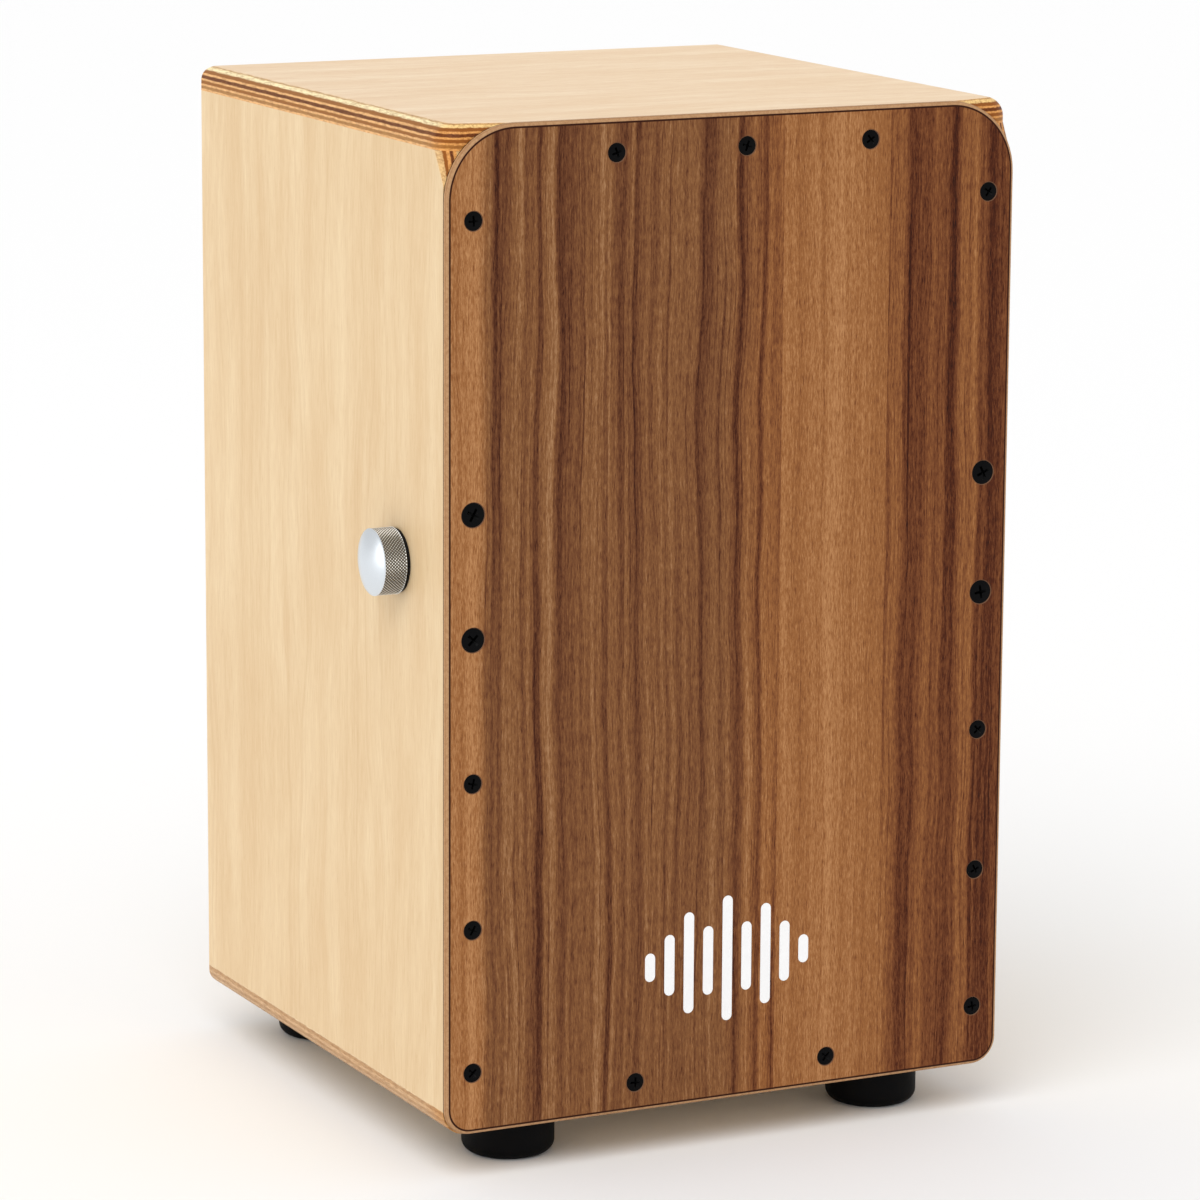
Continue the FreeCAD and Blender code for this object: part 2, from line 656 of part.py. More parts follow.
def snare_end_plate(middle):
    """The brass plate that the strands of one set are soldered to."""
    x = (middle - END_PLATE_HALF_WIDTH, middle + END_PLATE_HALF_WIDTH)
    plate = block(x, (END_PLATE_Y, BRACKET_Y), END_PLATE_Z)
    holes = [rod(END_SCREW_R, place - Y * MARGIN, place + Y * (END_PLATE + MARGIN))
             for place in end_screw_places()]
    corners = edges_where(plate, lambda point: abs(point.y - END_PLATE_Y - END_PLATE / 2) < NEAR
                          and abs(abs(point.x - middle) - END_PLATE_HALF_WIDTH) < NEAR)
    corner_round = 3.0
    return plate.makeFillet(corner_round, corners).cut(holes)


def snare_strands(middle):
    """One set of strands, each a closed coil of wire held as a plain rod of its outer size."""
    first = -(STRANDS - 1) / 2
    low = END_PLATE_Z[0] + STRAND_FOOT_INSET
    high = AXIS_Z + STRAND_TOP_RISE
    places = [middle + (first + count) * STRAND_PITCH for count in range(STRANDS)]
    return Part.makeCompound([rod(STRAND_R, Vector(x, STRAND_Y, low), Vector(x, STRAND_Y, high))
                              for x in places])


def end_plate_screws():
    """Small machine screws through end plate and bracket."""
    screw = pan_screw(head_r=2.6, head_height=1.1, shank_r=END_SCREW_R, length=6.4, tip=0.5)
    return driven(screw, end_screw_places(), Y)


def end_plate_nuts():
    """Hexagon nuts behind the brackets."""
    half_across = 3.18
    height = 2.4
    nut = hexagon(half_across, Vector(0, 0, 0), X, Y).extrude(Z * height)
    nut = nut.cut(Part.makeCylinder(END_SCREW_R, height))
    back = Y * (END_PLATE + SHEET)
    return Part.makeCompound([placed(nut, place + back, Y) for place in end_screw_places()])


def bracket_screws():
    """Wood screws that hold the brackets on the bar."""
    screw = pan_screw(head_r=4.0, head_height=2.2, shank_r=BRACKET_SCREW_R,
                      length=BRACKET_SCREW_LENGTH, tip=3.0)
    return driven(screw, bracket_screw_places(), Z * -1)


# ---------------------------------------------------------------- all the pieces

def cabinet_pieces():
    pieces = {
        "seat": seat(),
        "base": base(),
        "left_side": side(-1),
        "right_side": side(1),
        "rear_panel": rear_panel(),
        "front_plate": front_plate(),
        "bearing_block_left": bearing_block(-1),
        "bearing_block_right": bearing_block(1),
        "knob_bush": knob_bush(),
        "pivot_bush": pivot_bush(),
        "front_screws_small": driven(countersunk_screw(**SMALL_SCREW), SMALL_PLACES, Y),
        "front_screws_large": driven(countersunk_screw(**LARGE_SCREW), LARGE_PLACES, Y),
        "foot_washers": foot_washers(),
        "foot_screws": foot_screws(),
    }
    pieces.update(front_battens())
    pieces.update(rear_battens())
    for name, place in foot_places().items():
        pieces[f"foot_{name}"] = placed(foot(), place)
    return pieces


def rotor_pieces():
    return {
        "knob": knob(),
        "knob_set_screw": knob_set_screw(),
        "spindle": spindle(),
        "friction_washer": friction_washer(),
        "snare_bar": snare_bar(),
        "pivot_pin": pivot_pin(),
        "cross_pins": Part.makeCompound([cross_pin_solid(-1), cross_pin_solid(1)]),
        "snare_bracket_left": snare_bracket(-SET_X),
        "snare_bracket_right": snare_bracket(SET_X),
        "snare_end_plate_left": snare_end_plate(-SET_X),
        "snare_end_plate_right": snare_end_plate(SET_X),
        "snare_strands_left": snare_strands(-SET_X),
        "snare_strands_right": snare_strands(SET_X),
        "end_plate_screws": end_plate_screws(),
        "end_plate_nuts": end_plate_nuts(),
        "bracket_screws": bracket_screws(),
    }


def save(name, shape):
    """Moves a piece so that box and knob together are centred on the origin, and writes it."""
    moved = shape.copy()
    moved.translate(X * (KNOB_PROJECTION / 2))
    moved.exportStep(os.path.join("parts", f"{name}.step"))
    sound = "valid" if moved.isValid() else "NOT VALID"
    print(f"{name}: {len(moved.Solids)} solid(s), {moved.Volume / 1000:.2f} cm3, {sound}")


os.makedirs("parts", exist_ok=True)
for piece_name, piece_shape in {**cabinet_pieces(), **rotor_pieces()}.items():
    save(piece_name, piece_shape)
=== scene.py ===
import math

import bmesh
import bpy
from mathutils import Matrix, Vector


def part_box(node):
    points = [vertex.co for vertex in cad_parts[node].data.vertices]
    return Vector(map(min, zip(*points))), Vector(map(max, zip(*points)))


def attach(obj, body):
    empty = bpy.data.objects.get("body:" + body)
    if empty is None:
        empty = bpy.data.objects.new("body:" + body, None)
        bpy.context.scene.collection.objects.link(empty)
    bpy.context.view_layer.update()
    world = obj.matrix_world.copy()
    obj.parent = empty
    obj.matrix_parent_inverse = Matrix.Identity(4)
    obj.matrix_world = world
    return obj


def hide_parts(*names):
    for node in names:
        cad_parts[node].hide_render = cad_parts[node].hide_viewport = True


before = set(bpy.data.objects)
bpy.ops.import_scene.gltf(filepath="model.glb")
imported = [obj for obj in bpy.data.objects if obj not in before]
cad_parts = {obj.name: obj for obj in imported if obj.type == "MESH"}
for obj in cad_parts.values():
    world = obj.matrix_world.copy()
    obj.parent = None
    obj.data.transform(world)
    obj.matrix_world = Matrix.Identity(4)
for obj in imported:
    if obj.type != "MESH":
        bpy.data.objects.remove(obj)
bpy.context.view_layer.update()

# The looks of a cajon: a birch plywood box with a walnut-faced front plate. Most pieces
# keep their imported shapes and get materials. The knob, the snare strands and an emblem
# on the front plate are built here.
#
# Shapes are in metres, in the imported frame. Materials work in millimetres from the
# box's middle plane, the front plate's face and the floor.

MM = 0.001
NOISE = (0.3, 0.7)           # where nearly all of a noise's values lie

SEAT_LOW, SEAT_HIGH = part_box("seat")
PLATE_LOW, PLATE_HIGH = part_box("front_plate")
KNOB_LOW, KNOB_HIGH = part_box("knob")
BASE_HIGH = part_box("base")[1]
PANEL_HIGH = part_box("rear_panel")[1]
MIDDLE_X = (SEAT_LOW.x + SEAT_HIGH.x) / 2
FACE_Y = PLATE_LOW.y


def add_object(name, data):
    """A new object in the scene."""
    made = bpy.data.objects.new(name, data)
    bpy.context.scene.collection.objects.link(made)
    return made


# ---------------------------------------------------------------- camera and stage

WORLD_STRENGTH = 0.80
FLOOR_REACH = 15             # metres each way, past the edges of the view
FLOOR_GREY = 0.93


def add_camera():
    """A long lens, a little above the box and to the left of its front."""
    azimuth = math.radians(-26.46)
    elevation = math.radians(11.50)
    roll = math.radians(0.344)
    distance = 2.655
    slide_right, slide_up = 0.0036, -0.0261
    target = Vector((MIDDLE_X, 0.0025, 0.267))
    back = Vector((math.sin(azimuth) * math.cos(elevation),
                   -math.cos(azimuth) * math.cos(elevation), math.sin(elevation)))
    level = Vector((math.cos(azimuth), math.sin(azimuth), 0))
    upright = back.cross(level)
    right = level * math.cos(roll) + upright * math.sin(roll)
    up = upright * math.cos(roll) - level * math.sin(roll)
    data = bpy.data.cameras.new("camera")
    data.sensor_width = 36
    data.lens = 159.55
    data.clip_end = 100
    camera = add_object("camera", data)
    place = target + back * distance + right * slide_right + up * slide_up
    camera.matrix_world = Matrix.Translation(place) @ Matrix((right, up, back)).transposed().to_4x4()
    bpy.context.scene.camera = camera


def add_light(name, kind, place, energy, **settings):
    """A lamp that points at the middle of the box."""
    data = bpy.data.lights.new(name, kind)
    data.energy = energy
    for key, value in settings.items():
        setattr(data, key, value)
    lamp = add_object(name, data)
    aim = Vector((MIDDLE_X, 0, SEAT_HIGH.z / 2)) - Vector(place)
    lamp.location = place
    lamp.rotation_euler = aim.to_track_quat("-Z", "Y").to_euler()


def add_lights():
    """Even white light from all round, a broad key from above, and a softbox by the left side."""
    world = bpy.data.worlds.new("studio")
    world.use_nodes = True
    background = world.node_tree.nodes["Background"]
    background.inputs["Color"].default_value = (1, 1, 1, 1)
    background.inputs["Strength"].default_value = WORLD_STRENGTH
    bpy.context.scene.world = world
    add_light("key", "SUN", place=(-1.6, -1.5, 3.4), energy=1.05, angle=math.radians(45))
    add_light("softbox", "AREA", place=(-2.6, 0.6, 0.5), energy=9.0, shape="DISK", size=1.6)
    bpy.context.scene.view_settings.view_transform = "Standard"


def add_floor():
    """A pale floor."""
    corners = [(FLOOR_REACH * x, FLOOR_REACH * y, 0) for x, y in ((-1, -1), (1, -1), (1, 1), (-1, 1))]
    mesh = bpy.data.meshes.new("floor")
    mesh.from_pydata(corners, [], [(0, 1, 2, 3)])
    floor = add_object("floor", mesh)
    g = Graph("floor_paint")
    g.set_shader(**{"Base Color": (FLOOR_GREY, FLOOR_GREY, FLOOR_GREY, 1), "Roughness": 0.9})
    mesh.materials.append(g.material)


# ---------------------------------------------------------------- material helpers

MIX_INPUTS, MIX_RESULT = (0, 6, 7), 2     # the Mix node's sockets for colours: share, first and second


def shade(red, green, blue):
    """A colour given as it looks on a screen, 0 to 255, as a shader wants it."""
    linear = []
    for channel in (red, green, blue):
        part = channel / 255
        linear.append(part / 12.92 if part <= 0.04045 else ((part + 0.055) / 1.055) ** 2.4)
    return (*linear, 1)


class Graph:
    """One material's node tree, with a short call for each kind of node used here."""

    def __init__(self, name):
        self.material = bpy.data.materials.new(name)
        self.material.use_nodes = True
        self.tree = self.material.node_tree
        self.shader = self.tree.nodes["Principled BSDF"]
        where = self.node("ShaderNodeTexCoord").outputs["Object"]
        split = self.node("ShaderNodeSeparateXYZ", where)
        self.x = self.ruler(split.outputs[0], MIDDLE_X)
        self.y = self.ruler(split.outputs[1], FACE_Y)
        self.z = self.ruler(split.outputs[2], 0)

    def ruler(self, value, zero):
        """A coordinate in millimetres from zero."""
        return self.math("DIVIDE", self.math("SUBTRACT", value, zero), MM)

    def feed(self, socket, value):
        """Links a socket to another node's, or sets its value."""
        if isinstance(value, bpy.types.NodeSocket):
            self.tree.links.new(value, socket)
        else:
            socket.default_value = value

    def node(self, kind, *inputs, **settings):
        node = self.tree.nodes.new(kind)
        for key, value in settings.items():
            setattr(node, key, value)
        for count, value in enumerate(inputs):
            self.feed(node.inputs[count], value)
        return node

    def math(self, operation, *values):
        return self.node("ShaderNodeMath", *values, operation=operation).outputs[0]

    def length(self, first, second):
        """The distance from the origin of a point in a plane."""
        squares = [self.math("MULTIPLY", part, part) for part in (first, second)]
        return self.math("SQRT", self.math("ADD", *squares))

    def scaled(self, value, low, high, new_low=0.0, new_high=1.0, smooth=False):
        """The value carried from one range to another and held there."""
        node = self.node("ShaderNodeMapRange", value, low, high, new_low, new_high)
        node.interpolation_type = "SMOOTHSTEP" if smooth else "LINEAR"
        return node.outputs[0]

    def vector(self, x, y, z):
        return self.node("ShaderNodeCombineXYZ", x, y, z).outputs[0]

    def stretched(self, per_x, per_y, per_z):
        """A texture vector: the three rulers, each times its own number."""
        return self.vector(self.math("MULTIPLY", self.x, per_x), self.math("MULTIPLY", self.y, per_y),
                           self.math("MULTIPLY", self.z, per_z))

    def noise(self, vector, detail=2.0, roughness=0.5):
        node = self.node("ShaderNodeTexNoise", vector)
        node.inputs["Scale"].default_value = 1
        node.inputs["Detail"].default_value = detail
        node.inputs["Roughness"].default_value = roughness
        return node.outputs["Fac"]

    def ramp(self, value, stops):
        """A colour ramp from (position, colour) stops."""
        node = self.node("ShaderNodeValToRGB", value)
        band = node.color_ramp
        while len(band.elements) < len(stops):
            band.elements.new(1)
        for element, (position, colour) in zip(band.elements, stops):
            element.position = position
            element.color = colour
        return node.outputs["Color"]

    def mix(self, share, first, second, blend="MIX"):
        node = self.tree.nodes.new("ShaderNodeMix")
        node.data_type = "RGBA"
        node.blend_type = blend
        node.clamp_factor = True
        for socket, value in zip(MIX_INPUTS, (share, first, second)):
            self.feed(node.inputs[socket], value)
        return node.outputs[MIX_RESULT]

    def tinted(self, colour, tint):
        return self.mix(1.0, colour, tint, "MULTIPLY")

    def grey(self, value):
        """A number as a colour, to multiply with."""
        return self.node("ShaderNodeCombineColor", value, value, value).outputs[0]

    def bump(self, height, depth_mm):
        node = self.node("ShaderNodeBump")
        node.inputs["Strength"].default_value = 1
        node.inputs["Distance"].default_value = depth_mm * MM
        self.feed(node.inputs["Height"], height)
        return node.outputs[0]

    def set_shader(self, **inputs):
        for name, value in inputs.items():
            self.feed(self.shader.inputs[name], value)
        return self.material


def dress(material, *nodes):
    """Puts a material on every face of these CAD nodes."""
    for name in nodes:
        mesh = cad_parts[name].data
        mesh.materials.clear()
        mesh.materials.append(material)


# ---------------------------------------------------------------- birch plywood

BIRCH = shade(234, 210, 171)
SIDE_WOOD = (BIRCH, shade(217, 185, 141), shade(198, 160, 112))      # pale, dark, fibres
# The seat's birch is paler and cooler than the sides': a painted sheen of the lacquer catching light at a low
# angle.
SEAT_WOOD_AND_SHEEN = (shade(250, 229, 198), shade(236, 206, 168), shade(218, 180, 138))
SEAT_FIGURE = 1.5             # the strength of the seat's figure, where the other boards have 1
FLECK = shade(188, 142, 94)
BAND_DRIFT = 42.0             # millimetres that the bands wander
BAND_SHARE, CLOUD_SHARE, LINE_SHARE, FIBRE_SHARE, FLECK_SHARE = 0.48, 0.52, 0.22, 0.36, 0.22
LACQUER_ROUGHNESS = (0.40, 0.52)
LACQUER_SPECULAR = 0.18

PLY_LIGHT = shade(238, 184, 122)
# A pale ply, made brighter with a painted highlight where the seat's edge rounds over.
PLY_WITH_HIGHLIGHT = shade(255, 236, 186)
PLY_DARK = shade(98, 48, 2)
PLY_BROWN = shade(150, 94, 34)
PLY_MIDDLE = shade(172, 124, 66)
GLUE_LINE = shade(200, 158, 104)
END_GRAIN = shade(140, 86, 36)
DARK_PLY, LIGHT_PLY = 1.55, 0.95      # millimetres
PLY_BLUR = 0.22
RAGGED_PLY = 0.16             # how far a ply's edge strays, in millimetres
FACE_DEPTH = (0.12, 0.3)      # depth where the face veneer's colour starts to fade and ends

# Layers as (thickness in millimetres, colour). The seat's run from its top down; its third layer, a pale ply,
# also carries a painted highlight on the rounded edge.
SEAT_PLIES = [(0.3, BIRCH), (0.3, GLUE_LINE), (1.3, PLY_WITH_HIGHLIGHT)]
for dark in (PLY_BROWN, PLY_DARK, PLY_BROWN, PLY_MIDDLE):
    SEAT_PLIES += [(DARK_PLY, dark), (LIGHT_PLY, PLY_LIGHT)]
# The base's run from its top down, and the panels' from one face to the other.
BASE_LIGHT, BASE_DARK = shade(216, 179, 135), shade(194, 153, 109)
BASE_PLIES = [(0.5, BIRCH)] + 3 * [(1.9, BASE_DARK), (1.7, BASE_LIGHT)] + [(0.7, BIRCH)]
PANEL_FACE, PANEL_PLY = 1.9, 1.3
PANEL_CORE = [(PANEL_PLY, colour) for colour in (PLY_BROWN, PLY_LIGHT, PLY_DARK, PLY_LIGHT)]
PANEL_PLIES = [(PANEL_FACE, BIRCH)] + PANEL_CORE + [(PANEL_FACE, BIRCH)]
AMBER = shade(248, 226, 190)
CORNER_REACH = (6.0, 26.0)    # behind the plate's face, where the amber tint starts to fade and ends


def ply_ramp(g, depth, layers):
    """The layers of a board by depth, each with softened edges."""
    total = sum(thickness for thickness, _ in layers)
    stops = []
    start = 0.0
    for thickness, colour in layers:
        end = start + thickness
        blur = min(PLY_BLUR, thickness / 3)
        stops.append(((start + blur) / total, colour))
        stops.append(((end - blur) / total, colour))
        start = end
    return g.ramp(g.math("DIVIDE", depth, total), stops)


def birch_figure(g, run, width, wood, strength):
    """The veneer's colour: wavering bands, cloudy patches and fine fibres along the run."""
    def grain(per_width, per_run, where=width, **settings):
        """Noise by its detail per millimetre across the grain and along it."""
        vector = g.vector(g.math("MULTIPLY", where, per_width), g.math("MULTIPLY", run, per_run), 0.0)
        return g.noise(vector, **settings)

    drift = g.math("MULTIPLY", grain(0.014, 0.006, detail=2.0), BAND_DRIFT)
    wavered = g.math("ADD", width, drift)
    bands = g.scaled(grain(0.07, 0.0012, wavered, detail=3.0, roughness=0.6), 0.38, 0.62)
    clouds = g.scaled(grain(0.045, 0.009, detail=3.0, roughness=0.6), 0.38, 0.64)
    lines = g.scaled(grain(0.30, 0.002, wavered, detail=3.0, roughness=0.65), 0.52, 0.70)
    fibres = grain(1.1, 0.07, detail=3.0, roughness=0.65)
    flecks = g.scaled(grain(1.5, 0.18, detail=1.0), 0.64, 0.76)
    pale, dark, fibre = wood
    face = g.mix(g.math("MULTIPLY", bands, BAND_SHARE * strength), pale, dark)
    face = g.mix(g.math("MULTIPLY", clouds, CLOUD_SHARE * strength), face, dark)
    face = g.mix(g.math("MULTIPLY", lines, LINE_SHARE * strength), face, fibre)
    face = g.mix(g.scaled(fibres, 0.3, 0.75, 0.0, FIBRE_SHARE * strength), face, fibre)
    face = g.mix(g.math("MULTIPLY", flecks, FLECK_SHARE * strength), face, FLECK)
    return face, fibres


def birch_board(name, depth, layers, along, across, wood=SIDE_WOOD, strength=1.0):
    """Clear-lacquered birch plywood.

    Depth is measured from the outer face. Along and across name the rulers of its grain.
    """
    g = Graph(name)
    rulers = {"x": g.x, "y": g.y, "z": g.z}
    face, fibres = birch_figure(g, rulers[along], rulers[across], wood, strength)
    ragged = g.scaled(g.noise(g.stretched(0.6, 0.12, 0.6), detail=3.0), *NOISE, -RAGGED_PLY, RAGGED_PLY)
    plies = ply_ramp(g, g.math("ADD", depth(g), ragged), layers)
    end_grain = g.noise(g.stretched(0.9, 0.2, 1.1), detail=3.0, roughness=0.7)
    plies = g.mix(g.scaled(end_grain, 0.42, 0.66, 0.0, 0.55), plies, END_GRAIN)
    plies = g.mix(g.scaled(g.y, *CORNER_REACH, 1.0, 0.0, smooth=True), plies, g.tinted(plies, AMBER))
    on_face = g.scaled(depth(g), *FACE_DEPTH, 1.0, 0.0)
    return g.set_shader(**{
        "Base Color": g.mix(on_face, plies, face),
        "Roughness": g.scaled(fibres, *NOISE, *LACQUER_ROUGHNESS),
        "Normal": g.bump(fibres, depth_mm=0.03),
        "Specular IOR Level": LACQUER_SPECULAR,
    })


def below(level):
    """Depth into a lying board, from its top."""
    return lambda g: g.math("SUBTRACT", level / MM, g.z)


def from_middle(half_width):
    """Depth into the side panels, the same on both."""
    return lambda g: g.math("SUBTRACT", half_width / MM, g.math("ABSOLUTE", g.x))


def from_rear(rear_y):
    """Depth into the rear panel, from its outer face."""
    return lambda g: g.math("SUBTRACT", (rear_y - FACE_Y) / MM, g.y)


def dress_boards():
    half_width = SEAT_HIGH.x - MIDDLE_X
    # The seat's material carries a painted sheen in its palette and a painted highlight in its plies.
    dress(birch_board("birch_seat_painted_sheen", below(SEAT_HIGH.z), SEAT_PLIES, "x", "y", SEAT_WOOD_AND_SHEEN, SEAT_FIGURE), "seat")
    dress(birch_board("birch_base", below(BASE_HIGH.z), BASE_PLIES, "x", "y"), "base")
    dress(birch_board("birch_sides", from_middle(half_width), PANEL_PLIES, "z", "y"),
          "left_side", "right_side")
    dress(birch_board("birch_rear", from_rear(PANEL_HIGH.y), PANEL_PLIES, "z", "x"), "rear_panel")


# ---------------------------------------------------------------- walnut front plate

WALNUT_TONES = [  # from the darkest streaks to the palest wood
    (0.00, shade(34, 10, 4)), (0.25, shade(78, 34, 14)), (0.50, shade(118, 68, 37)),
    (0.75, shade(152, 98, 54)), (1.00, shade(190, 137, 90)),
]
TONE_SHIFT = 0.04             # makes the whole plate paler
# Millimetres from the plate's middle. Each leaf's lightness is given at its left and right edge; the right
# leaf's fall towards the plate's right edge is partly painted shade.
HALF_PLATE = 150
LEAF_EDGES = (25, 82)
LEFT_TONES, PALE_TONES, RIGHT_TONES_AND_SHADE = (0.67, 0.60), (0.71, 0.72), (0.53, 0.40)
LEAF_OFFSET = 61.0            # sets the noise of one leaf apart from the next
PALE_CROWN = 0.08             # how much paler the middle of the pale leaf is
STRIP_END = -132              # where the quiet strip of sapwood at the plate's left edge ends
STRIP_TONE, STRIP_FADE = 0.12, 5
QUIET_FADE = 3                # millimetres over which the strip's quietness fades
QUIET_FIGURE, QUIET_DASHES = -0.6, -0.3      # the share of its figure that a quiet part loses
SLOW_SWAY, QUICK_SWAY = 11.0, 4.0            # millimetres that the streaks wander sideways
# How far each kind of figure moves the lightness: the first row either way, the second only down.
RING_TONE, STREAK_TONE, DASH_TONE, FIBRE_TONE = 0.16, 0.14, 0.12, 0.15
RING_LINE_TONE, LINE_TONE, PORE_TONE = 0.22, 0.20, 0.16
SMOKY_ZONE = (-128, 10)       # where heartwood gives the left leaf a greyer cast
SMOKY_RISE, SMOKY_FALL = (-6, 0), (-15, 10)  # its fades, from the zone's start and its end
SMOKED = shade(232, 240, 255)

# Painted shade on the countersinks' walls round the screw heads, and the depth below the face where it lies.
COUNTERSINK_SHADE = shade(112, 78, 56)
COUNTERSINK_SHADE_DEPTH = (0.01, 0.06)
# The veneer's dark cut edge, deepened with painted shade where the plate's edge rounds away.
VENEER_EDGE_AND_SHADE = shade(52, 20, 6)
EDGE_LINE = (1.6, 2.5)        # the dark line inside the outline, where the veneer is sanded through: its cut edge, with painted shade of the rounding
EDGE_SOFT = 0.1
TOP_CORNER, LOW_CORNER = 35.0, 13.0
CORE_PLY = 0.75               # millimetres, four plies in all
CORE_LIGHT, CORE_DARK, CORE_PALE = shade(190, 148, 107), shade(172, 130, 90), shade(206, 168, 124)
CORE_PLIES = [(CORE_PLY, colour) for colour in (CORE_LIGHT, CORE_DARK, CORE_LIGHT, CORE_PALE)]
CORE_MOTTLE = shade(146, 100, 66)
BACK_VENEER = shade(222, 186, 142)
BACK_DEPTH = (2.8, 2.9)       # depth where the plate's rear veneer starts
PAST_EDGE = (3.0, 3.2)        # inside the outline, where its rounded edge is left behind
# A painted shadow line at the back of the plate's edge, where the plate meets the box.
JOINT_SHADOW = shade(46, 26, 12)
JOINT_SHADOW_DEPTH = (2.3, 2.5)       # depth where the painted shadow line against the box starts
JOINT_SHADOW_REACH = (0.4, 0.8)      # inside the outline, where that line ends


def leaf_bands(g, where, second, third):
    """The broad lightness of each leaf, before its figure."""
    start, end = LEAF_EDGES
    left = g.scaled(where, -HALF_PLATE, start, *LEFT_TONES)
    strip = g.scaled(where, STRIP_END, STRIP_END + STRIP_FADE, STRIP_TONE, 0.0)
    crown = g.scaled(g.math("ABSOLUTE", g.math("SUBTRACT", where, (start + end) / 2)),
                     0, (end - start) / 2, PALE_CROWN, 0.0, smooth=True)
    pale = g.math("ADD", g.scaled(where, start, end, *PALE_TONES), crown)
    # The right leaf darkens towards the plate's edge: partly its own tone, partly painted shade.
    right = g.scaled(where, end, HALF_PLATE, *RIGHT_TONES_AND_SHADE)
    return g.mix(third, g.mix(second, g.math("ADD", left, strip), pale), right)


def walnut_face(g):
    """Three leaves of walnut veneer side by side, with streaks that waver a little up the plate."""
    second = g.math("GREATER_THAN", g.x, LEAF_EDGES[0])
    third = g.math("GREATER_THAN", g.x, LEAF_EDGES[1])
    leaf = g.math("MULTIPLY", g.math("ADD", second, third), LEAF_OFFSET)

    def field(per_x, per_z, seed, where=g.x, **settings):
        """Noise by its detail per millimetre across the plate and up it."""
        across = g.math("ADD", g.math("MULTIPLY", where, per_x), leaf)
        return g.noise(g.vector(across, g.math("MULTIPLY", g.z, per_z), seed), **settings)

    slow = g.math("SUBTRACT", field(0.012, 0.0045, 1.0), 0.5)
    quick = g.math("SUBTRACT", field(0.05, 0.016, 2.0), 0.5)
    sway = g.math("ADD", g.math("MULTIPLY", slow, SLOW_SWAY), g.math("MULTIPLY", quick, QUICK_SWAY))
    where = g.math("ADD", g.x, sway)

    rings = g.scaled(field(0.09, 0.0006, 8.0, where, detail=2.0), 0.34, 0.66, -RING_TONE, RING_TONE)
    ring_lines = g.scaled(field(0.17, 0.0008, 9.0, where, detail=1.0), 0.58, 0.70, 0.0, -RING_LINE_TONE)
    streaks = g.scaled(field(0.38, 0.0035, 3.0, where, detail=4.0, roughness=0.65),
                       *NOISE, -STREAK_TONE, STREAK_TONE)
    lines = g.scaled(field(0.7, 0.004, 4.0, where, detail=2.0), 0.60, 0.70, 0.0, -LINE_TONE)
    dashes = g.scaled(field(1.0, 0.09, 7.0, where, detail=3.0, roughness=0.7),
                      0.32, 0.68, -DASH_TONE, DASH_TONE)
    fibres = field(1.7, 0.28, 5.0, detail=3.0, roughness=0.75)
    pores = g.scaled(field(1.6, 0.16, 6.0, detail=1.0), 0.6, 0.7)

    on_pale_leaf = g.math("SUBTRACT", second, third)
    on_strip = g.scaled(where, STRIP_END, STRIP_END + QUIET_FADE, 1.0, 0.0)
    quiet = g.math("MAXIMUM", on_pale_leaf, on_strip)
    figure = g.math("ADD", g.math("ADD", rings, ring_lines), g.math("ADD", streaks, lines))
    figure = g.math("MULTIPLY", figure, g.math("MULTIPLY_ADD", quiet, QUIET_FIGURE, 1.0))
    dashes = g.math("MULTIPLY", dashes, g.math("MULTIPLY_ADD", quiet, QUIET_DASHES, 1.0))
    tone = g.math("ADD", leaf_bands(g, where, second, third), figure)
    tone = g.math("ADD", tone, dashes)
    tone = g.math("ADD", tone, g.scaled(fibres, *NOISE, -FIBRE_TONE, FIBRE_TONE))
    tone = g.math("SUBTRACT", tone, g.math("MULTIPLY", pores, PORE_TONE))
    colour = g.ramp(g.math("ADD", tone, TONE_SHIFT), WALNUT_TONES)

    start, end = SMOKY_ZONE
    rise = g.scaled(where, start + SMOKY_RISE[0], start + SMOKY_RISE[1])
    fall = g.scaled(where, end + SMOKY_FALL[0], end + SMOKY_FALL[1], 1.0, 0.0)
    colour = g.mix(g.math("MULTIPLY", rise, fall), colour, g.tinted(colour, SMOKED))
    return colour, fibres, pores


def inside_outline(g):
    """How far inside the plate's outline a point is. The outline's corners are larger at its top."""
    half_width = (PLATE_HIGH.x - PLATE_LOW.x) / 2 / MM
    half_height = (PLATE_HIGH.z - PLATE_LOW.z) / 2 / MM
    up = g.math("SUBTRACT", g.z, (PLATE_LOW.z + PLATE_HIGH.z) / 2 / MM)
    corner = g.scaled(up, -1.0, 1.0, LOW_CORNER, TOP_CORNER)

    def past_corner(distance, half):
        return g.math("ADD", g.math("SUBTRACT", g.math("ABSOLUTE", distance), half), corner)

    over_x, over_z = past_corner(g.x, half_width), past_corner(up, half_height)
    far = g.length(g.math("MAXIMUM", over_x, 0.0), g.math("MAXIMUM", over_z, 0.0))
    near = g.math("MINIMUM", g.math("MAXIMUM", over_x, over_z), 0.0)
    return g.math("SUBTRACT", corner, g.math("ADD", far, near))


